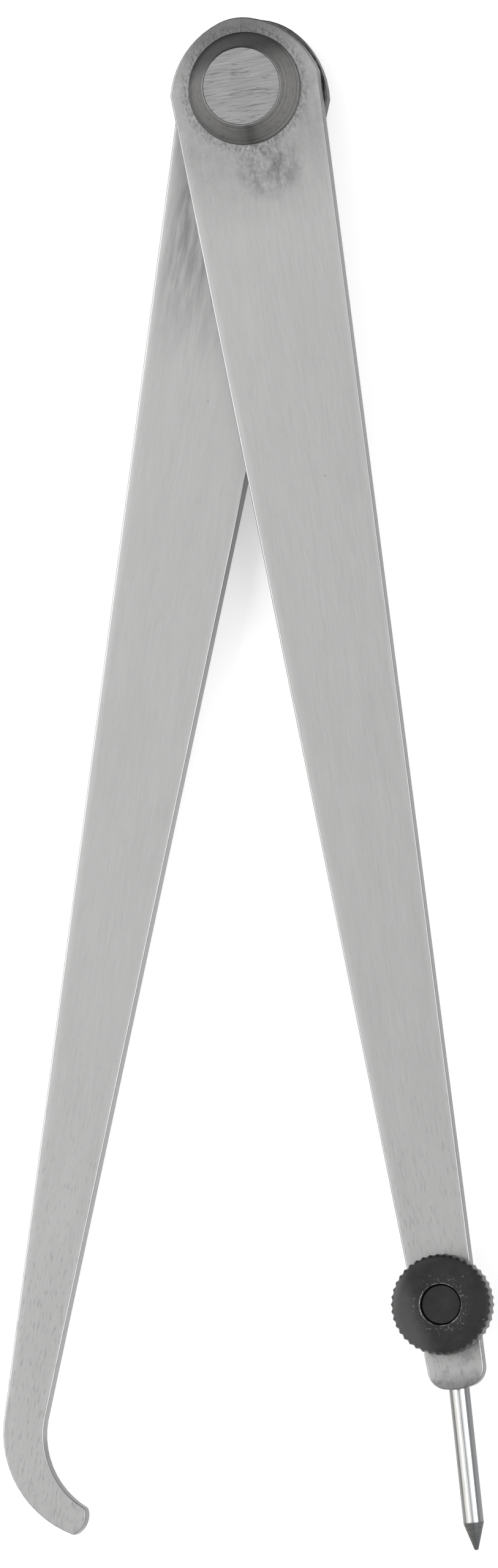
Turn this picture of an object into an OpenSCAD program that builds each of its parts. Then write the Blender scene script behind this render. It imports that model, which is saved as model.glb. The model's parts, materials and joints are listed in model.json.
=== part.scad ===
// Firm-joint hermaphrodite caliper with an adjustable scriber.
// It lies on its back: +Z comes out of the front face, +Y points from the legs to the joint,
// and the origin is on the joint's axis, on the flat rear face of the rivet.

/* [Legs] */
// Thickness of both legs
leg_t = 2.3; // [1.8:0.1:3]
// Width of the scriber leg across its shoulders, where the round head meets the straight edges
scriber_leg_w = 15.7; // [15:0.1:16.5]
// Width of the scriber leg at its lower end
scriber_leg_end_w = 5.7; // [5.5:0.1:6.5]
// Length of the scriber leg below the joint's axis
scriber_leg_len = 136.9; // [134:0.1:142]
// Width of the caliper leg across its shoulders
caliper_leg_w = 15.6; // [15:0.1:16.5]
// Width of the caliper leg where its foot begins
caliper_leg_end_w = 4.3; // [3.8:0.05:4.6]
// Length of the caliper leg's straight part below the joint's axis
foot_start = 140; // [136:0.2:142]
// Sideways set of the caliper leg towards the scriber
caliper_set = 0.5; // [0:0.02:0.7]

/* [Pose at rest] */
// Lean of the scriber leg away from -Y, towards +X
scriber_leg_lean = 9.4; // [8:0.1:14]
// Lean of the caliper leg away from -Y, towards -X
caliper_leg_lean = 9.9; // [8:0.1:14]
// Turn of the scriber in its clamp, tip towards the caliper leg
scriber_turn = 3.3; // [0:0.1:6]

/* [Foot] */
// Radius of the foot's outer curve
foot_outer_r = 11.3; // [11:0.05:11.8]
// Radius of the foot's inner curve
foot_inner_r = 8.7; // [8.4:0.05:9.1]
// Angle through which the foot bends inwards, to the centre of its tip's curve
foot_bend = 70; // [64:0.5:74]
// Radius of the tip's curve
foot_tip_r = 2.36; // [2:0.02:2.6]

/* [Joint] */
// Outer diameter of the bevelled washers
washer_d = 11.8; // [11:0.1:12.6]
// Height of the bevelled washers
washer_h = 2.1; // [1.7:0.1:2.3]
// Diameter of the spread end of the rivet
rivet_face_d = 8.1; // [7.4:0.1:8.6]
// Diameter of the rivet's shank
rivet_d = 5.5; // [5:0.1:6]
// Gap between the two legs
leg_gap = 0.25; // [0.15:0.05:0.5]

/* [Scriber clamp] */
// Distance of the clamp below the joint's axis
clamp_drop = 128.1; // [126:0.1:129]
// Diameter of the threaded clamp stud
stud_d = 4.1; // [3.8:0.1:4.2]
// Outer diameter of the knurled nut
nut_d = 10.4; // [9.5:0.1:11.5]
// Height of the knurled nut
nut_h = 3.3; // [3:0.1:4.5]
// Number of teeth in the knurl
nut_teeth = 42; // [30:1:60]
// Diameter of the scriber
scriber_d = 2.16; // [2:0.02:2.3]
// Length of the scriber from the clamp's axis to the point
scriber_out = 25.4; // [20:0.1:30]
// Length of the scriber from the clamp's axis to its upper end
scriber_in = 20; // [12:0.5:22]
// Length of the ground point
point_len = 2.85; // [2:0.05:4]

/* [Hidden] */
$fn = 96;

// A cut goes this far past the face it opens
past = 1;
// Two outlines that join reach this far into each other
lap = 0.5;
// Radial play of a part that turns or slides on another
play = 0.05;
// Radial play between parts that are riveted together
snug = 0.01;

// Heights of the faces above the table
caliper_leg_z = washer_h;
scriber_leg_z = caliper_leg_z + leg_t + leg_gap;
front_z = scriber_leg_z + leg_t;
top_z = front_z + washer_h;

// Round heads: a flank arc up from each shoulder, and a crown arc that runs smoothly into both
flank_drop = 1.5;
scriber_leg_flank_r = 9.2;
scriber_leg_crown_r = 5.5;
caliper_leg_flank_r = 9.8;
caliper_leg_crown_r = 7;
shoulder_up = 0.65;

// A half-plane or a fan that cuts an outline reaches this far
reach = 30;

// Rounded lower end of the scriber leg: a crown with a smaller round at each corner
end_crown_r = 5.5;
end_corner_r = 2;
end_crown_y = -scriber_leg_len + end_crown_r;

// Depth of the tip curve's centre inside the foot's outer curve
foot_tip_inset = 1.45;

// Rivet ends and washers
rivet_flare_h = 1.2;
washer_land = 0.25;
washer_face_d = rivet_face_d + 0.2;

// Friction disc, sunk equally into both legs
disc_d = 13;
disc_sink = 0.25;
disc_h = leg_gap + 2 * disc_sink;
disc_play = 0.1;

// Scriber clamp
stud_hole_d = stud_d + 0.2;
seat_d = 6;
seat_h = 1;
groove_h = 0.5;
groove_play = 0.02;
eye_d = 5.8;
eye_wall = 0.9;
eye_gap = 0.25;
eye_chamfer = 0.3;
stud_recess = 0.5;
stud_chamfer = 0.2;
tooth_h = 0.2;
nut_chamfer = 0.4;
nut_mouth = 0.12;
point_d = 0.4;
scriber_chamfer = 0.25;
seat_z = scriber_leg_z - seat_h;
scriber_z = seat_z + groove_h - groove_play - scriber_d / 2;
eye_z = scriber_z - scriber_d / 2 - eye_wall;
eye_top_z = seat_z - eye_gap;
stud_top_z = front_z + nut_h - stud_recess;

// Half the width of the scriber leg at height y
function scriber_leg_half_w(y) =
    (scriber_leg_w + (scriber_leg_end_w - scriber_leg_w) * (shoulder_up - y)
        / (shoulder_up + scriber_leg_len)) / 2;

// How far the centre of a head's flank arc lies past the leg's middle, for shoulders of width w
function flank_x(w, flank_r) = sqrt(pow(flank_r, 2) - pow(shoulder_up + flank_drop, 2)) - w / 2;

// Height of the centre of a head's crown, which touches the circles of both flanks
function crown_y(w, flank_r, crown_r) =
    sqrt(pow(flank_r - crown_r, 2) - pow(flank_x(w, flank_r), 2)) - flank_drop;

// Height of the centres of the lower end's corner rounds, which touch the crown's circle
function end_corner_y(corner_x) =
    end_crown_y - sqrt(pow(end_crown_r - end_corner_r, 2) - pow(corner_x, 2));

// Puts a part that hangs straight down from the origin at the given lean towards +X
module lean(a) {
    rotate([0, 0, a]) children();
}

// Puts a part drawn on the Z axis on the clamp's axis
module at_clamp() {
    lean(scriber_leg_lean) translate([0, -clamp_drop, 0]) children();
}

// Turns a part drawn with the scriber along -Y to the scriber's own direction
module along_scriber() {
    at_clamp() lean(-scriber_turn) children();
}

// Straight tapered edges; both ends narrow a little, into the head and into the foot
module blade_outline(w, end_w, len) {
    polygon([
        [-w / 2 + lap, shoulder_up + lap], [w / 2 - lap, shoulder_up + lap], [w / 2, shoulder_up],
        [end_w / 2, -len], [end_w / 2 - lap, -len - lap], [-end_w / 2 + lap, -len - lap],
        [-end_w / 2, -len], [-w / 2, shoulder_up]
    ]);
}

// Extrudes each outline on its own to the legs' thickness, so that they join as solids
module slab() {
    for (i = [0 : $children - 1]) {
        linear_extrude(leg_t) children(i);
    }
}

// Round head: the flanks as far up as they touch the crown, and the crown between the lines
// from its centre through those points
module head(w, flank_r, crown_r) {
    centre_y = crown_y(w, flank_r, crown_r);
    touch_x = flank_x(w, flank_r) * crown_r / (flank_r - crown_r);
    touch_up = (centre_y + flank_drop) * crown_r / (flank_r - crown_r);
    slab() {
        intersection() {
            translate([flank_x(w, flank_r), -flank_drop]) circle(r = flank_r);
            translate([-flank_x(w, flank_r), -flank_drop]) circle(r = flank_r);
            translate([-reach, shoulder_up]) square([2 * reach, centre_y + touch_up - shoulder_up]);
        }
        translate([0, centre_y]) intersection() {
            circle(r = crown_r);
            polygon(reach * [[0, 0], [-touch_x, touch_up], [touch_x, touch_up]]);
        }
    }
}

// Everything above the lower end's rounds, the rounds themselves, and the crown as far as the
// lines from its centre through theirs
module rounded_end() {
    about_x = scriber_leg_half_w(end_corner_r - scriber_leg_len) - end_corner_r;
    corner_x = scriber_leg_half_w(end_corner_y(about_x)) - end_corner_r;
    corner_y = end_corner_y(corner_x);
    slab() {
        translate([-reach, corner_y]) square([2 * reach, reach - corner_y]);
        translate([-corner_x, corner_y]) circle(r = end_corner_r);
        translate([corner_x, corner_y]) circle(r = end_corner_r);
        translate([0, end_crown_y]) intersection() {
            circle(r = end_crown_r);
            polygon(reach * [
                [0, 0], [-corner_x, corner_y - end_crown_y], [corner_x, corner_y - end_crown_y]
            ]);
        }
    }
}

// Band between the foot's two curves, which leave the blade's edges straight down
module foot_band() {
    difference() {
        circle(r = foot_outer_r);
        translate([caliper_leg_end_w + foot_inner_r - foot_outer_r, 0]) circle(r = foot_inner_r);
    }
}

// Foot: the band as far as the tip, and the band cut off by the tip's curve
module foot() {
    mid_a = 180 + foot_bend / 2;
    tip_a = 180 + foot_bend;
    tip_x = foot_outer_r - foot_tip_inset;
    translate([foot_outer_r - caliper_leg_end_w / 2, -foot_start, 0]) slab() {
        intersection() {
            foot_band();
            polygon([
                [0, 0], [-reach, 0], reach * [cos(mid_a), sin(mid_a)], reach * [cos(tip_a), sin(tip_a)]
            ]);
        }
        intersection() {
            foot_band();
            translate(tip_x * [cos(tip_a), sin(tip_a)]) circle(r = foot_tip_r);
        }
    }
}

// Front leg: head, straight taper, rounded end, rivet hole and clamp hole
module scriber_leg() {
    color("silver") lean(scriber_leg_lean) translate([0, 0, scriber_leg_z]) difference() {
        union() {
            head(scriber_leg_w, scriber_leg_flank_r, scriber_leg_crown_r);
            intersection() {
                slab() blade_outline(scriber_leg_w, scriber_leg_end_w, scriber_leg_len);
                rounded_end();
            }
        }
        translate([0, 0, -past]) cylinder(d = rivet_d + 2 * snug, h = leg_t + 2 * past);
        translate([0, 0, -past]) cylinder(d = disc_d + 2 * disc_play, h = disc_sink + past);
        translate([0, -clamp_drop, -past]) cylinder(d = stud_hole_d, h = leg_t + 2 * past);
    }
}

// Rear leg: head, straight taper, curved foot and rivet hole
module caliper_leg() {
    color("silver") lean(-caliper_leg_lean) translate([0, 0, caliper_leg_z]) difference() {
        translate([caliper_set, 0, 0]) {
            head(caliper_leg_w, caliper_leg_flank_r, caliper_leg_crown_r);
            slab() blade_outline(caliper_leg_w, caliper_leg_end_w, foot_start);
            foot();
        }
        translate([0, 0, -past]) cylinder(d = rivet_d + 2 * play, h = leg_t + 2 * past);
        translate([0, 0, leg_t - disc_sink]) cylinder(d = disc_d + 2 * disc_play, h = disc_sink + past);
    }
}

// Rivet: a shank whose two ends are spread into the washers and ground flush with them
module joint_rivet() {
    color("lightgray") rotate_extrude() polygon([
        [0, 0], [rivet_face_d / 2, 0], [rivet_d / 2, rivet_flare_h],
        [rivet_d / 2, top_z - rivet_flare_h], [rivet_face_d / 2, top_z], [0, top_z]
    ]);
}

// Washer with its wide face at z = 0 and its narrow face up, countersunk for the rivet's end
module bevel_washer() {
    rotate_extrude() polygon([
        [rivet_d / 2 + snug, 0], [washer_d / 2, 0], [washer_d / 2, washer_land],
        [washer_face_d / 2, washer_h], [rivet_face_d / 2 + snug, washer_h],
        [rivet_d / 2 + snug, washer_h - rivet_flare_h]
    ]);
}

module front_washer() {
    color("dimgray") translate([0, 0, front_z]) bevel_washer();
}

module rear_washer() {
    color("dimgray") translate([0, 0, washer_h]) rotate([180, 0, 0]) bevel_washer();
}

// Fibre disc between the leg heads
module friction_disc() {
    color("saddlebrown") translate([0, 0, caliper_leg_z + leg_t - disc_sink]) difference() {
        cylinder(d = disc_d, h = disc_h);
        translate([0, 0, -past]) cylinder(d = rivet_d + 2 * play, h = disc_h + 2 * past);
    }
}

// Outline of the straight knurl, one groove and one tooth tip to each pitch
module knurl_outline() {
    step = 180 / nut_teeth;
    polygon([
        for (i = [0 : 2 * nut_teeth - 1])
            (nut_d / 2 - tooth_h * (i % 2)) * [cos(i * step), sin(i * step)]
    ]);
}

// Knurled nut, bevelled at both rims, with a clear bore for the stud's thread
module thumb_nut() {
    bore_r = stud_d / 2 + play;
    rim_r = nut_d / 2 - nut_chamfer;
    color("#3a3838") at_clamp() translate([0, 0, front_z]) intersection() {
        linear_extrude(nut_h) knurl_outline();
        rotate_extrude() polygon([
            [bore_r, 0], [rim_r, 0], [rim_r + nut_h / 2, nut_h / 2], [rim_r, nut_h],
            [bore_r + nut_mouth, nut_h], [bore_r, nut_h - nut_mouth]
        ]);
    }
}

// Clamp stud: an eye behind the leg and a threaded shank through it, drawn at its major diameter
module eyebolt() {
    color("#333232") difference() {
        at_clamp() rotate_extrude() polygon([
            [0, eye_z], [eye_d / 2 - eye_chamfer, eye_z], [eye_d / 2, eye_z + eye_chamfer],
            [eye_d / 2, eye_top_z], [stud_d / 2, eye_top_z], [stud_d / 2, stud_top_z - stud_chamfer],
            [stud_d / 2 - stud_chamfer, stud_top_z], [0, stud_top_z]
        ]);
        along_scriber() translate([0, eye_d, scriber_z]) rotate([90, 0, 0])
            cylinder(d = scriber_d + 2 * play, h = 2 * eye_d);
    }
}

// Grooved washer that the scriber is drawn up against
module clamp_seat() {
    color("#4a4846") difference() {
        at_clamp() translate([0, 0, seat_z]) cylinder(d = seat_d, h = seat_h);
        at_clamp() translate([0, 0, seat_z - past]) cylinder(d = stud_hole_d, h = seat_h + 2 * past);
        along_scriber() translate([0, seat_d, scriber_z]) rotate([90, 0, 0])
            cylinder(d = scriber_d + 2 * groove_play, h = 2 * seat_d);
    }
}

// Round scriber with a ground point at one end and a small bevel at the other
module scriber() {
    r = scriber_d / 2;
    color("gainsboro") along_scriber() translate([0, 0, scriber_z]) rotate([90, 0, 0])
        rotate_extrude() polygon([
            [0, -scriber_in], [r - scriber_chamfer, -scriber_in], [r, -scriber_in + scriber_chamfer],
            [r, scriber_out - point_len], [point_d / 2, scriber_out], [0, scriber_out]
        ]);
}

scriber_leg();
caliper_leg();
joint_rivet();
front_washer();
rear_washer();
friction_disc();
thumb_nut();
eyebolt();
clamp_seat();
scriber();
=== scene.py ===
# %% [markdown]
# # A firm-joint hermaphrodite caliper
# The tool has two flat steel legs riveted together at a bevelled joint. One leg ends in a curved
# foot, the other carries a thin scriber in a small clamp with a knurled nut.
# The solid model settles the sizes and places. This lesson gives the tool its softened edges,
# turned and knurled details, and metal finishes.

# %% Load the solid model
import json
import math
import bpy
from mathutils import Matrix, Vector


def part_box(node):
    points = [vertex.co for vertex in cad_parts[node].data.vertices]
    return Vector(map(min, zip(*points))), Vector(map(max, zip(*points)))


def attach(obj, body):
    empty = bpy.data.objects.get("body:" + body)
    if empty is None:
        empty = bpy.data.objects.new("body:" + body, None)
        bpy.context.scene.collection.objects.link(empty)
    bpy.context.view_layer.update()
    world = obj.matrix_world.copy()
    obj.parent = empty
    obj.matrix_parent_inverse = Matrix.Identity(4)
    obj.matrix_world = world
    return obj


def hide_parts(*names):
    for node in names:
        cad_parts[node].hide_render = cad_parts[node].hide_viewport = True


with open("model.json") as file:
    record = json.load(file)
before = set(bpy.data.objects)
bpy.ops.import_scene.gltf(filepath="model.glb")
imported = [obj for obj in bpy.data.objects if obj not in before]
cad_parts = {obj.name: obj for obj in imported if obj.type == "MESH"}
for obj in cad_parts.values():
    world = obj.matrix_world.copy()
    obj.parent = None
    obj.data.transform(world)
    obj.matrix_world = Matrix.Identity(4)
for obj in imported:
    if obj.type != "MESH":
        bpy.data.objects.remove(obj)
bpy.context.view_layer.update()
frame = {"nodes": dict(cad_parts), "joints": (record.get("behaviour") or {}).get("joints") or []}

MM = 0.001

# %% [markdown]
# The places could be typed in again, but then they might drift from the solid model. The
# moving joints already say where the clamp is and which way the scriber points, and the boxes
# of the solids give the heights, so they are read from there. Only the lean of the caliper leg
# is typed in, because the leg's joint is at its middle and says nothing about it.

# %% Places
joints = {joint["name"]: joint for joint in frame["joints"]}
clamp_x, clamp_y = joints["nut_spin"]["pos_m"][0] / MM, joints["nut_spin"]["pos_m"][1] / MM
scriber_way = Vector(joints["scriber_slide"]["axis"])
front_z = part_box("thumb_nut")[0].z / MM
top_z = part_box("joint_rivet")[1].z / MM
scriber_z = (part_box("scriber")[0].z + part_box("scriber")[1].z) / 2 / MM
scriber_leg_lean = math.degrees(math.atan2(clamp_x, -clamp_y))
caliper_leg_lean = 9.9
print("clamp at", round(clamp_x, 2), round(clamp_y, 2), "lean", round(scriber_leg_lean, 2))

# %% [markdown]
# ## Helpers for finishes
# Every finish on this tool is a small sum over textures: how streaky, how dirty, how worn a
# spot is. Such a sum could be wired up node by node, but it is easier to read as plain Python.
# This class wraps one socket, so that adding or multiplying two of them adds a Math node.

# %% Shader maths
class Flow:
    """One output of a node. Arithmetic on it adds Math nodes behind it."""

    def __init__(self, tree, out):
        self.tree, self.out = tree, out

    def node(self, kind, inputs=None, out=0, **settings):
        """Adds a node: its settings first, then the values or links of its sockets."""
        made = self.tree.nodes.new(kind)
        for key, value in settings.items():
            setattr(made, key, value)
        for key, value in (inputs or {}).items():
            if isinstance(value, Flow):
                self.tree.links.new(value.out, made.inputs[key])
            else:
                made.inputs[key].default_value = value
        return Flow(self.tree, made.outputs[out])

    def maths(self, operation, *others):
        """A Math node with this value in its first socket."""
        return self.node("ShaderNodeMath", dict(enumerate((self, *others))), operation=operation)

    def __add__(self, other): return self.maths("ADD", other)
    def __radd__(self, other): return self.maths("ADD", other)
    def __sub__(self, other): return self.maths("SUBTRACT", other)
    def __rsub__(self, other): return self.maths("MULTIPLY_ADD", -1, other)
    def __mul__(self, other): return self.maths("MULTIPLY", other)
    def __rmul__(self, other): return self.maths("MULTIPLY", other)

    def rise(self, start, end):
        """0 before start, 1 after end, and a smooth rise between; start may be the larger."""
        low, high, a, b = (start, end, 0, 1) if start < end else (end, start, 1, 0)
        return self.node("ShaderNodeMapRange", {
            "Value": self, "From Min": low, "From Max": high, "To Min": a, "To Max": b,
        }, interpolation_type="SMOOTHSTEP")

    def near(self, value, width):
        """1 at the value, falling to 0 at that distance from it."""
        return (self - value).maths("ABSOLUTE").rise(width, 0)

    def part(self, axis):
        """The X, Y or Z of a vector."""
        return self.node("ShaderNodeSeparateXYZ", {0: self}, out=axis)

    def stretched(self, x, y, z=1.0):
        """The point scaled along each axis; a pattern on it is finer where the scale is large."""
        return self.node("ShaderNodeVectorMath", {0: self, 1: (x, y, z)}, operation="MULTIPLY")

    def noise(self, scale=1.0, detail=2.0, rough=0.5):
        """Soft random clouds about 0.5."""
        return self.node("ShaderNodeTexNoise", {
            "Vector": self, "Scale": scale, "Detail": detail, "Roughness": rough})

    def specks(self, scale, size, share):
        """Small round specks in a share of the cells of a grid of random points."""
        cells = {"Vector": self, "Scale": scale}
        distance = self.node("ShaderNodeTexVoronoi", cells)
        chosen = self.node("ShaderNodeTexVoronoi", cells, out=1).part(0)
        return distance.rise(size, size * 0.4) * chosen.maths("LESS_THAN", share)

    def mix(self, first, second):
        """A colour between two, by this share."""
        return self.node("ShaderNodeMix", {"Factor": self, "A": first, "B": second},
                         data_type="RGBA", out=2)


def grey(level, warm=0.0):
    """A nearly neutral colour; warm shifts it from blue to red."""
    return (level * (1 + warm), level, level * (1 - warm), 1)


# %% [markdown]
# A finish starts from the point on the piece. It could use UV maps, but these pieces are bars
# and turned parts whose marks run along or round an axis, so the point itself, in mm and turned
# to that axis, is all that a pattern needs.

# %% A finish
class Finish:
    """A new material whose maths starts from the point on the piece, in mm."""

    def __init__(self, name, turn=0.0, centre=(0, 0, 0)):
        self.material = bpy.data.materials.new(name)
        self.material.use_nodes = True
        self.tree = self.material.node_tree
        self.shader = self.tree.nodes["Principled BSDF"]
        start = Flow(self.tree, None)
        spot = start.node("ShaderNodeTexCoord", out=3)
        shifted = start.node("ShaderNodeVectorMath", {
            0: spot, 1: tuple(-value * MM for value in centre)}, operation="ADD")
        scaled = start.node("ShaderNodeVectorMath", {0: shifted, 3: 1 / MM}, operation="SCALE")
        self.at = start.node("ShaderNodeMapping", {
            "Vector": scaled, "Rotation": (0, 0, math.radians(turn))})
        self.x, self.y, self.z = (self.at.part(axis) for axis in range(3))

    def radius(self):
        """Distance from the piece's own Z axis."""
        return (self.x * self.x + self.y * self.y).maths("SQRT")

    def set(self, colour, rough, metallic=1.0, height=None, depth=0.01, **fixed):
        """Links or sets the shader's sockets; height is a relief that many mm deep."""
        sockets = {"Base Color": colour, "Roughness": rough, "Metallic": metallic, **fixed}
        for key, value in sockets.items():
            if isinstance(value, Flow):
                self.tree.links.new(value.out, self.shader.inputs[key])
            else:
                self.shader.inputs[key].default_value = value
        if height is not None:
            relief = height.node("ShaderNodeBump", {
                "Height": height, "Distance": depth * MM, "Strength": 1.0})
            self.tree.links.new(relief.out, self.shader.inputs["Normal"])
        print("finish", self.material.name, "has", len(self.tree.nodes), "nodes")
        return self.material


# %% [markdown]
# ## Studio
# Polished metal shows little but what it mirrors, so the light matters as much as the steel. An
# even white sky would make the scriber one flat grey. This sky is bright to the left and right,
# like two large diffusers, and darker over the top and towards the ends of the tool, which
# gives the scriber its two bright bands.

# %% Sky
world = bpy.data.worlds.new("studio")
world.use_nodes = True
bpy.context.scene.world = world
bpy.context.scene.view_settings.view_transform = "Standard"
sky_way = Flow(world.node_tree, None).node("ShaderNodeTexCoord", out=0)
diffusers = sky_way.part(0).maths("ABSOLUTE").rise(0.04, 0.13)
far_end = sky_way.part(1).rise(0.3, 0.9)
sky_light = (0.36 + 0.75 * diffusers) * (1 - 0.8 * far_end)
sky = world.node_tree.nodes["Background"]
sky.inputs["Color"].default_value = (1, 1, 1, 1)
world.node_tree.links.new(sky_light.out, sky.inputs["Strength"])
print("sky has", len(world.node_tree.nodes), "nodes")

# %% [markdown]
# The tool lies on a white sheet. A floor that only reflects light would come out grey under
# this sky, so it also glows a little, and the soft shadow under the tool stays faint.

# %% Floor
bpy.ops.object.select_all(action="DESELECT")
bpy.ops.mesh.primitive_plane_add(size=8, location=(0, -0.07, 0))
floor = bpy.context.object
floor.name = "floor"
floor.data.materials.append(Finish("pale_floor").set(
    grey(0.86), 0.9, metallic=0.0,
    **{"Emission Color": grey(1), "Emission Strength": 0.32}))
print("floor laid")

# %% [markdown]
# Two square lamps, a metre wide, stand left and right of the tool. Small lamps would give hard
# shadows, and from lamps this wide the shadows fade out softly.

# %% Lamps
def softbox(name, place, size, power):
    """A square lamp aimed at the middle of the tool."""
    lamp = bpy.data.lights.new(name, "AREA")
    lamp.size, lamp.energy = size, power
    holder = bpy.data.objects.new(name, lamp)
    holder.location = place
    aim = Vector((0, -0.07, 0)) - Vector(place)
    holder.rotation_euler = aim.to_track_quat("-Z", "Y").to_euler()
    bpy.context.scene.collection.objects.link(holder)
    print(name, "at", place)


softbox("left_softbox", (-1.1, 0.3, 1.3), 1.0, 12)
softbox("right_softbox", (1.1, -0.2, 1.3), 1.0, 9)

# %% [markdown]
# ## Camera
# A long lens far away keeps the legs nearly free of perspective. It is tilted a little to the
# right and down from straight overhead, so that the right-hand side faces of the legs just show.
# The lens is worked out from the height of the view, which is easier to measure than a lens.

# %% Camera
VIEW_DISTANCE = 1.0
VIEW_HEIGHT = 0.16244
TO_RIGHT, TO_FOOT = math.radians(9.5), math.radians(3.4)
look_at = Vector((0.48 * MM, -72.5 * MM, front_z * MM))
back = Vector((
    math.sin(TO_RIGHT) * math.cos(TO_FOOT), -math.sin(TO_FOOT),
    math.cos(TO_RIGHT) * math.cos(TO_FOOT)))
right = Vector((0, 1, 0)).cross(back).normalized()
up = back.cross(right)
camera = bpy.data.objects.new("camera", bpy.data.cameras.new("camera"))
camera.data.lens = camera.data.sensor_width * VIEW_DISTANCE / VIEW_HEIGHT
camera.matrix_world = Matrix.Translation(look_at + back * VIEW_DISTANCE) @ Matrix(
    (right, up, back)).transposed().to_4x4()
bpy.context.scene.collection.objects.link(camera)
bpy.context.scene.camera = camera
print("lens", round(camera.data.lens), "mm")

# %% [markdown]
# ## Leg steel
# The legs are belt-ground along their length: a fine, faint grain, nearly even in colour.
# Round the joint the steel is dirtier and duller from handling and old oil. The narrow side
# faces get painted shade, darker than the front, and the long edges get painted highlights. One
# function makes both legs' steel, because they were ground alike. What differs is handed to it:
# the lean, the widths at the shoulders and at the end with the length between them, the painted
# shade of the sides, and the marks of use with their painted shade.

# %% Leg finish
LEG_LIGHT, LEG_T, SHOULDER_UP, WASHER_R = 0.385, 2.3, 0.65, 5.9
DIRT_REACH, FOOT_START = 17, 140


def half_width(f, head_w, end_w, length):
    """Half the width of a leg, which tapers from its shoulders to its end."""
    taper = (head_w - end_w) / 2 / (SHOULDER_UP + length)
    return head_w / 2 - taper * SHOULDER_UP + taper * f.y


def joint_dirt(f, r, grit):
    """Dirt from handling: thick by the washer, thin further out, with a stain below."""
    clouds = f.at.stretched(1.1, 0.6, 1.1).noise(detail=4, rough=0.6)
    dirt = r.rise(DIRT_REACH, WASHER_R + 0.3) * (0.4 + 0.6 * (clouds - 0.5) + 0.6 * (grit - 0.5))
    stain_x, stain_y = f.x - 1.2, f.y + 8.6
    stain = (stain_x * stain_x + stain_y * stain_y).rise(16, 2)
    return dirt + stain * (0.2 + 1.2 * (clouds - 0.46) + 1.3 * (grit - 0.46))


def leg_finish(name, lean, low_z, middle, widths, side_shade, marks):
    """Ground steel; lean turns the grain along the leg, middle is the x of its centre line."""
    f = Finish(name, turn=lean)
    r = f.radius()
    grain = f.at.stretched(9, 0.3, 9).noise(detail=3)
    drift = f.at.stretched(0.5, 0.08, 0.5).noise(detail=3)
    light = LEG_LIGHT + 0.05 * (grain - 0.5) + 0.035 * (drift - 0.5)

    grit = f.at.stretched(3.6, 2.2, 3.6).noise(detail=7, rough=0.8)
    dirt = joint_dirt(f, r, grit)
    ring_dirt = r.near(WASHER_R + 0.3, 0.9) * grit.rise(0.44, 0.58)
    crown = f.y.rise(1.5, 7.2)
    light = light * (1 - 0.62 * dirt) * (1 - 0.5 * crown) * (1 - 0.4 * ring_dirt)

    half = half_width(f, *widths)
    from_left, from_right = f.x - middle + half, f.x - middle - half
    above_foot = f.y.rise(-FOOT_START, 3 - FOOT_START)
    # Painted highlights: light bands along the left and right edges, where rounded edges would
    # catch the lamps.
    light = light * (1 + 0.13 * above_foot * from_left.rise(0.9, 0.25))
    light = light * (1 + 0.06 * above_foot * from_right.rise(-0.5, -0.3))
    side = f.z.rise(low_z, low_z + 0.1) * f.z.rise(low_z + LEG_T, low_z + LEG_T - 0.1)
    # Painted shade: the narrow side faces are darkened in the base colour.
    light = light * (1 - side * side_shade(f))

    dashes = f.at.stretched(5, 0.8, 5).noise(detail=2).rise(0.54, 0.7)
    light = light * (1 - (0.03 + 0.17 * f.y.rise(-95, -135)) * dashes)
    light = light * (1 - marks(f)) * (1 - 0.4 * f.at.specks(0.16, 0.018, 0.5))
    rough = 0.36 + 0.08 * (grain - 0.5) + 0.1 * dirt
    return f.set(light.mix(grey(0), grey(1, 0.004)), rough,
                 height=grain + 0.8 * grit * r.rise(DIRT_REACH, 6), depth=0.002)


# %% [markdown]
# The scriber leg is worn at its lower end: the edge is rolled over, and the nut has left stains.
# The caliper leg is smudged where the other leg wipes across it, with painted shade beside that
# leg's edge, and its head is oily and has painted shade where it lies below the other leg. Each
# mark is a place on the leg, as a rise along X or Y, times a noise that breaks it up.

# %% Marks of use
def scriber_leg_side(f):
    """How much painted shade the side faces get."""
    return 0.62


def scriber_leg_marks(f):
    """Painted shade at the worn lower end with its turned-over edge, and stains just below the
    nut.
    """
    # Painted shade: the last two mm of the leg are darkened for the rounded end.
    rolled_end_shade = 0.45 * f.y.rise(-134.8, -136.8)
    stains = 0.25 * f.at.noise(scale=1.1, detail=3).rise(0.45, 0.75) * f.y.rise(-131, -133)
    return rolled_end_shade + stains


def caliper_leg_side(f):
    """Painted shade on the side faces: dark near the joint and round the foot, and bright between.
    """
    return 0.38 + 0.25 * f.y.rise(-78, -45) + 0.27 * f.y.rise(-141, -143)


def caliper_leg_marks(f):
    """A smudge with painted shade beside the other leg, oil and painted shade on the head,
    scratches on the tip.
    """
    # Painted shade beside the scriber leg's edge, broken up like a smudge.
    smudge_and_shade = 0.16 + 0.3 * f.at.stretched(1.6, 0.25).noise(detail=3).rise(0.35, 0.7)
    # Painted shade with oil: the head is darkened where it lies below the scriber leg.
    oil_and_shade = f.x.rise(5.5, 7.2) * f.y.rise(-9, -3) * (0.38 + 0.35 * f.at.noise(scale=1.5, detail=4))
    scratched = f.at.stretched(7, 1.2).noise(detail=3).rise(0.55, 0.68) * f.y.rise(-144, -147)
    return smudge_and_shade * f.x.rise(-7.3, -4) * f.y.rise(-32, -14) + oil_and_shade + 0.15 * scratched


scriber_leg_finish = leg_finish(
    "scriber_leg_steel", -scriber_leg_lean, front_z - LEG_T, 0, (15.7, 5.7, 136.9),
    scriber_leg_side, scriber_leg_marks)
caliper_leg_finish = leg_finish(
    "caliper_leg_steel", caliper_leg_lean, top_z - front_z, 0.5, (15.6, 4.3, FOOT_START),
    caliper_leg_side, caliper_leg_marks)

# %% [markdown]
# ## Helpers for modelling
# Operators act on whatever is selected, and the loaded solids start out selected. So each step
# first leaves just one object selected. A solid's mesh is loose triangles: a copy is merged and
# its flat faces are made whole again, so that a bevel finds only the real edges.

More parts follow.
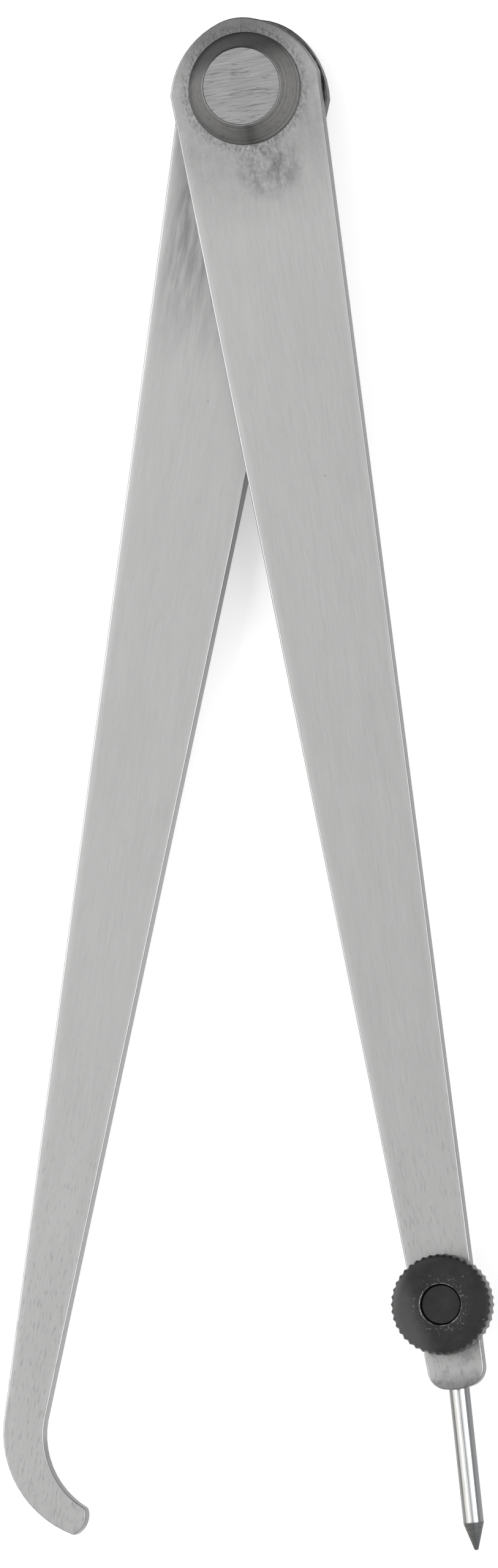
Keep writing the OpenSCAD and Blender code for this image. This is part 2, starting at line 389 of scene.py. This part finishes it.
# %% Copy, soften and hand over
def alone(piece):
    """Leaves only this piece selected and active."""
    bpy.ops.object.select_all(action="DESELECT")
    piece.select_set(True)
    bpy.context.view_layer.objects.active = piece


def worked_copy(node, name):
    """A merged copy of a solid, with its flat faces made whole again."""
    piece = bpy.data.objects.new(name, frame["nodes"][node].data.copy())
    piece.data.name = name
    bpy.context.scene.collection.objects.link(piece)
    alone(piece)
    bpy.ops.object.mode_set(mode="EDIT")
    bpy.ops.mesh.select_all(action="SELECT")
    bpy.ops.mesh.remove_doubles(threshold=6e-6)
    bpy.ops.mesh.dissolve_limited(angle_limit=math.radians(0.5))
    bpy.ops.object.mode_set(mode="OBJECT")
    print(name, "copied with", len(piece.data.polygons), "faces")
    return piece


def soften(piece, width, segments=3, from_angle=30):
    """Breaks the sharp edges with a narrow round, in mm, and smooths the rest."""
    alone(piece)
    if width:
        bevel = piece.modifiers.new("soft edges", "BEVEL")
        bevel.width = width * MM
        bevel.segments = segments
        bevel.limit_method = "ANGLE"
        bevel.angle_limit = math.radians(from_angle)
        bevel.use_clamp_overlap = False
        bevel.miter_outer = "MITER_ARC"
        bpy.ops.object.modifier_apply(modifier=bevel.name)
    bpy.ops.object.shade_smooth_by_angle(angle=math.radians(35))
    weighting = piece.modifiers.new("flat faces stay flat", "WEIGHTED_NORMAL")
    weighting.keep_sharp = True
    bpy.ops.object.modifier_apply(modifier=weighting.name)
    print(piece.name, "softened,", len(piece.data.polygons), "faces")


def belongs(piece, node, body, finish):
    """Gives a piece its finish and its place in the assembly."""
    piece.data.materials.clear()
    piece.data.materials.append(finish)
    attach(piece, body)
    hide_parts(node)


# %% [markdown]
# ## Legs
# The legs are flat blades, so their solids already have the right outline, and there is no need
# to draw them again. A copy of each gets its edges broken, as a real leg's are by the belt.

# %% Legs
for node, body, finish in (
        ("scriber_leg", "scriber_arm", scriber_leg_finish),
        ("caliper_leg", "caliper_arm", caliper_leg_finish)):
    leg = worked_copy(node, node + "_blade")
    soften(leg, 0.16)
    belongs(leg, node, body, finish)

# %% [markdown]
# ## Joint
# The rivet's ends are spread into two bevelled washers and ground flush with them. The ground
# face carries straight brush lines and a few deeper scores, so its noise is stretched one way.

# %% Ground rivet face
f = Finish("ground_rivet_face", turn=-8)
lines = f.at.stretched(0.3, 7, 4).noise(detail=5, rough=0.65)
scores = f.at.stretched(0.14, 2.2, 1).noise(detail=2).near(0.5, 0.02)
light = 0.26 + 0.3 * (lines - 0.5) - 0.1 * scores
rivet_finish = f.set(light.mix(grey(0), grey(1)), 0.42 + 0.1 * (lines - 0.5),
                     height=lines - 0.5 * scores, depth=0.004)

# %% [markdown]
# The washers keep the rings of the lathe. A flat noise would be dappled, so theirs is a noise in
# one dimension over the radius, which makes it the same all the way round. Their upper side gets
# painted shade and their right side painted light, and the inner rim is rubbed bright.

# %% Turned washer
RIVET_FACE_R = 4.05
f = Finish("turned_washer")
r = f.radius()
rings = r.node("ShaderNodeTexNoise", {"W": r * 6, "Scale": 1.0, "Detail": 4.0},
               noise_dimensions="1D")
soil = f.at.noise(scale=1.3, detail=5, rough=0.7).rise(0.45, 0.75)
# Painted shade: the upper side of the washer is darkened.
painted_top_shade = (f.y - 0.25 * f.x).rise(1.2, 4.2)
# Painted light: the right side of the washer is brightened.
lit = f.x.rise(1, 5)
rim = r.near(RIVET_FACE_R + 0.08, 0.08) * (1 - painted_top_shade)
light = (0.125 + 0.1 * (rings - 0.5)) * (1 - 0.25 * soil) * (1 - 0.7 * painted_top_shade) * (1 + 0.3 * lit)
light = light + 0.12 * rim
washer_finish = f.set(light.mix(grey(0), grey(1, 0.015)), 0.27 + 0.15 * (rings - 0.5),
                      height=rings, depth=0.008)

# %% [markdown]
# The disc between the leg heads is vulcanised fibre, a dull red-brown board with flecks. Only
# its edge can be seen, so its solid is good enough as it is and gets nothing but the finish.

# %% Friction disc
f = Finish("vulcanised_fibre")
fleck = f.at.noise(scale=3, detail=4)
fibre_finish = f.set(fleck.mix((0.12, 0.05, 0.03, 1), (0.3, 0.15, 0.08, 1)), 0.8, metallic=0.0)
disc = frame["nodes"]["friction_disc"]
disc.data.materials.clear()
disc.data.materials.append(fibre_finish)
print("friction disc has", len(disc.data.polygons), "faces")

# %% [markdown]
# Rivet, washers, nut, stud and scriber are all turned, so one helper makes them the way a lathe
# hand thinks of them: a list of radii and heights. It draws a circle out from step to step and
# resizes it there. Spin would also do it, but would leave a seam to merge.

# %% Turning
def turned(name, outline, sides=96, ring=False):
    """A turned piece: a circle drawn out and resized through (radius, height) steps, in mm."""
    first_r, first_z = outline[0]
    bpy.ops.object.select_all(action="DESELECT")
    bpy.ops.mesh.primitive_circle_add(
        vertices=sides, radius=first_r * MM, location=(0, 0, first_z * MM),
        fill_type="NOTHING" if ring else "NGON")
    piece = bpy.context.object
    piece.name = piece.data.name = name
    bpy.ops.object.transform_apply(location=True, rotation=True, scale=True)
    bpy.ops.object.mode_set(mode="EDIT")
    bpy.ops.mesh.select_all(action="SELECT")
    steps = outline[1:] + outline[:1] if ring else outline[1:]
    last_r, last_z = first_r, first_z
    for r, z in steps:
        bpy.ops.mesh.extrude_region_move(
            TRANSFORM_OT_translate={"value": (0, 0, (z - last_z) * MM)})
        bpy.ops.transform.resize(value=(r / last_r, r / last_r, 1), center_override=(0, 0, z * MM))
        last_r, last_z = r, z
    bpy.ops.mesh.select_all(action="SELECT")
    bpy.ops.mesh.remove_doubles(threshold=1e-7)
    bpy.ops.mesh.normals_make_consistent(inside=False)
    bpy.ops.object.mode_set(mode="OBJECT")
    print(name, "turned with", len(piece.data.polygons), "faces")
    return piece


# %% [markdown]
# The rivet is a plain shank that flares out at both ends, and each washer is a bevelled ring with
# a countersink of the same slope. A hair's gap between them shows where they meet.

# %% Rivet and washers
RIVET_R, FLARE = 2.75, 1.2
rivet = turned("joint_rivet_ground", [
    (RIVET_FACE_R - 0.05, 0), (RIVET_FACE_R, 0.05), (RIVET_R, FLARE), (RIVET_R, top_z - FLARE),
    (RIVET_FACE_R, top_z - 0.05), (RIVET_FACE_R - 0.05, top_z)])
soften(rivet, 0)
belongs(rivet, "joint_rivet", "scriber_arm", rivet_finish)

washer_h = top_z - front_z
washer_outline = [
    (RIVET_R + 0.02, 0), (WASHER_R - 0.04, 0), (WASHER_R, 0.04), (WASHER_R, 0.2),
    (WASHER_R - 0.04, 0.27), (RIVET_FACE_R + 0.19, washer_h - 0.07),
    (RIVET_FACE_R + 0.11, washer_h), (RIVET_FACE_R + 0.01, washer_h),
    (RIVET_R + 0.02, washer_h - FLARE)]
for node, wide_z, outward in (("front_washer", front_z, 1), ("rear_washer", washer_h, -1)):
    washer = turned(
        node + "_turned", [(r, wide_z + outward * z) for r, z in washer_outline], ring=True)
    soften(washer, 0)
    belongs(washer, node, "scriber_arm", washer_finish)

# %% [markdown]
# ## Clamp nut
# The nut, the stud and the seat are black-oxidised. The oxide isn't one black: it is mottled,
# worn to bright steel at the rim of the hole and scuffed round it, and the tips of the knurl
# are a little brown. Each kind of wear is a mask of its own, and the largest of them wins.

# %% Black oxide
STUD_R, NUT_R = 2.05, 5.2
f = Finish("black_oxide", centre=(clamp_x, clamp_y, 0))
r = f.radius()
mottle = f.at.noise(scale=0.9, detail=5, rough=0.6)
fine = f.at.noise(scale=7, detail=4, rough=0.65)
on_front = f.z.rise(front_z + 2, front_z + 3)

patchy = f.at.noise(scale=0.9, detail=3).rise(0.4, 0.58)
burr = r.near(STUD_R + 0.12, 0.1) * (0.08 + 0.82 * patchy) * fine.rise(0.35, 0.6) * on_front
beside_hole = r.rise(3.7, 2.3) * r.rise(STUD_R + 0.05, STUD_R + 0.15)
scuffs = beside_hole * f.at.noise(scale=3, detail=5, rough=0.8).rise(0.56, 0.7)
dots = f.at.specks(0.9, 0.09, 0.25)
worn = burr.maths("MAXIMUM", 0.5 * scuffs).maths("MAXIMUM", 0.3 * dots)

worn_side = (f.x + 0.4 * f.y).rise(-1.6, -4.2) * on_front
scratches = f.at.stretched(0.7, 1.6).noise(detail=3).near(0.5, 0.012) * fine.rise(0.4, 0.6)
oxide = (0.35 * mottle + 0.85 * worn_side + 0.3 * scratches).mix(grey(0.016), grey(0.066, 0.01))
tips = r.rise(NUT_R - 0.2, NUT_R - 0.02) * fine.rise(0.4, 0.75)
browned = (0.5 * tips).mix(oxide, (0.15, 0.12, 0.09, 1))
black_finish = f.set(worn.mix(browned, grey(0.38, 0.03)), 0.42 + 0.2 * (mottle - 0.5),
                     metallic=0.8, height=fine, depth=0.006)

# %% [markdown]
# The knurl is cut straight, so each tooth is a soft wave round the side. It could be cut with
# many small grooves, but a wave needs no cutting: the nut is turned with eight points to each
# tooth, and the points of its side are drawn in by that wave.

# %% Drawing points in
def scallop(piece, depth_at):
    """Draws points of a turned piece in towards Z; depth_at(angle, r, z) is how far, in mm."""
    groups = {}
    for point in piece.data.vertices:
        x, y, z = (value / MM for value in point.co)
        r = math.hypot(x, y)
        depth = round(depth_at(math.atan2(y, x), r, z), 3)
        if depth > 0:
            groups.setdefault((round(r, 3), depth), []).append(point.index)
    alone(piece)
    for (r, depth), members in groups.items():
        bpy.ops.object.mode_set(mode="EDIT")
        bpy.ops.mesh.select_mode(type="VERT")
        bpy.ops.mesh.select_all(action="DESELECT")
        bpy.ops.object.mode_set(mode="OBJECT")
        for index in members:
            piece.data.vertices[index].select = True
        bpy.ops.object.mode_set(mode="EDIT")
        shrink = (r - depth) / r
        bpy.ops.transform.resize(value=(shrink, shrink, 1), center_override=(0, 0, 0))
        bpy.ops.object.mode_set(mode="OBJECT")
    print(piece.name, "cut to", len(groups), "depths")


def stand(piece, x, y, z, way=None):
    """Puts a piece turned about Z at its place, in mm, with +Z along way, and applies it."""
    alone(piece)
    piece.location = (x * MM, y * MM, z * MM)
    if way is not None:
        piece.rotation_euler = way.to_track_quat("Z", "Y").to_euler()
    bpy.ops.object.transform_apply(location=True, rotation=True, scale=True)


# %% [markdown]
# The nut's outline goes round its section once, from the bore along the underside, up the side
# and back over the front, so that turning it closes the ring. Its edges and the mouth of the
# bore are rounded in the outline itself, because a bevel would catch on every tooth.

# %% Nut
NUT_H, BORE_R, TEETH, KNURL_DEPTH = 3.3, 2.1, 42, 0.15
nut = turned("clamp_nut_knurled", [
    (BORE_R + 0.02, 0), (NUT_R - 0.3, 0), (NUT_R - 0.04, 0.26), (NUT_R, 0.4),
    (NUT_R, 1.2), (NUT_R, 2.1), (NUT_R, NUT_H - 0.4), (NUT_R - 0.04, NUT_H - 0.26),
    (NUT_R - 0.3, NUT_H - 0.02), (NUT_R - 0.36, NUT_H), (4.2, NUT_H), (3.3, NUT_H),
    (BORE_R + 0.14, NUT_H), (BORE_R + 0.08, NUT_H - 0.01), (BORE_R + 0.03, NUT_H - 0.05),
    (BORE_R, NUT_H - 0.15), (BORE_R, 0.1)], sides=TEETH * 8, ring=True)


def knurl(angle, r, z):
    """Depth of the straight knurl, which is cut only where the nut is at its widest."""
    wave = (1 - math.cos(angle * TEETH)) / 2
    return KNURL_DEPTH * wave ** 0.7 if r > NUT_R - 0.1 else 0


scallop(nut, knurl)
soften(nut, 0)
stand(nut, clamp_x, clamp_y, front_z)
belongs(nut, "thumb_nut", "nut", black_finish)

# %% [markdown]
# ## Clamp stud
# The stud's eye hugs the scriber behind the leg, and its threaded shank runs up into the nut. The
# thread is a real helix: the shank is turned in fine rows, and each point is drawn in by how far
# up the turn it is. A boolean then drills the cross hole, as the maker would.

# %% Stud
THREAD_PITCH, THREAD_DEPTH, ROWS_PER_TURN = 0.794, 0.32, 8
EYE_R, CROSS_HOLE_R = 2.9, 1.13
eye_low, stud_top = (corner.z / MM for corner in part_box("eyebolt"))
eye_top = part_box("clamp_seat")[0].z / MM - 0.25
row_h = THREAD_PITCH / ROWS_PER_TURN
shank = [(STUD_R, eye_top + row * row_h) for row in range(int((stud_top - 0.1 - eye_top) / row_h))]
stud = turned("clamp_stud_threaded", [
    (EYE_R - 0.3, eye_low), (EYE_R, eye_low + 0.3), (EYE_R, eye_top - 0.12),
    (EYE_R - 0.12, eye_top), *shank, (STUD_R, stud_top - 0.1),
    (STUD_R - 0.08, stud_top - 0.02), (STUD_R - 0.13, stud_top)], sides=64)


def thread(angle, r, z):
    """Depth of the screw thread at a spot on the shank."""
    turn = (z / THREAD_PITCH - angle / math.tau) % 1
    inside = abs(r - STUD_R) < 0.01 and z > eye_top + 0.1
    return THREAD_DEPTH * abs(1 - 2 * turn) if inside else 0


scallop(stud, thread)
stand(stud, clamp_x, clamp_y, 0)
bpy.ops.object.select_all(action="DESELECT")
bpy.ops.mesh.primitive_cylinder_add(vertices=64, radius=CROSS_HOLE_R * MM, depth=8 * MM)
drill = bpy.context.object
stand(drill, clamp_x, clamp_y, scriber_z, scriber_way)
alone(stud)
cut = stud.modifiers.new("cross hole", "BOOLEAN")
cut.operation, cut.object, cut.solver = "DIFFERENCE", drill, "EXACT"
bpy.ops.object.modifier_apply(modifier=cut.name)
bpy.data.objects.remove(drill)
soften(stud, 0)
belongs(stud, "eyebolt", "clamp_stud", black_finish)

# %% [markdown]
# The seat is a small washer with a groove for the scriber, between the scriber and the back of the
# leg. Its solid already has the groove, so a copy with broken edges is enough.

# %% Seat
seat = worked_copy("clamp_seat", "clamp_seat_grooved")
soften(seat, 0.06, segments=2, from_angle=40)
belongs(seat, "clamp_seat", "seat", black_finish)

# %% [markdown]
# ## Scriber
# A polished round rod with a dull ground cone. Along its length the polish is slightly uneven,
# its flanks get painted shade, and its two sides a painted reflection tint, warm and cool. Two
# materials could meet at the cone, but one that changes along the rod is simpler: it is turned to
# the rod, so that the start of the cone is just a place on Y.

# %% Scriber finish
SCRIBER_R, OUT, IN, POINT = 1.08, 25.4, 20, 2.85
cone_start = OUT - POINT
f = Finish("polished_rod", turn=-math.degrees(math.atan2(scriber_way.x, -scriber_way.y)),
           centre=(clamp_x, clamp_y, scriber_z))
ground = f.y.rise(-cone_start + 0.15, -cone_start - 0.1)
strokes = f.at.stretched(0.6, 9, 0.6).noise(detail=3)
uneven = f.at.stretched(3, 0.5, 3).noise(detail=3)
# Painted shade: the rod is darkened towards its flanks.
flank_shade = f.x.maths("ABSOLUTE").rise(0.52, 0.7)
rod_light = (0.62 + 0.14 * (uneven - 0.5)) * (1 - 0.7 * flank_shade)
cone_light = 0.11 + 0.1 * (strokes - 0.5)
light = rod_light + ground * (cone_light - rod_light)
rough = 0.16 + 0.08 * (uneven - 0.5) + 0.3 * ground
# Painted reflection: one side of the rod is tinted warm, the other cool.
reflection_tint = f.x.rise(-0.3, 0.3).mix((1, 1, 0.97, 1), (0.95, 0.98, 1, 1))
rod_finish = f.set(light.mix(grey(0), reflection_tint), rough, height=strokes * ground, depth=0.006)

# %% [markdown]
# The rod is turned standing up, with its clamped part below zero and its point on top, and then
# laid along the way the scriber slides. The tip is a tiny flat, because a real point is one too.

# %% Scriber rod
rod = turned("scriber_rod", [
    (SCRIBER_R - 0.25, -IN), (SCRIBER_R, -IN + 0.25), (SCRIBER_R, 0),
    (SCRIBER_R, cone_start - 0.03), (SCRIBER_R - 0.01, cone_start + 0.03),
    (0.23, OUT - 0.1), (0.12, OUT)], sides=64)
soften(rod, 0)
stand(rod, clamp_x, clamp_y, scriber_z, scriber_way)
belongs(rod, "scriber", "scriber_point", rod_finish)
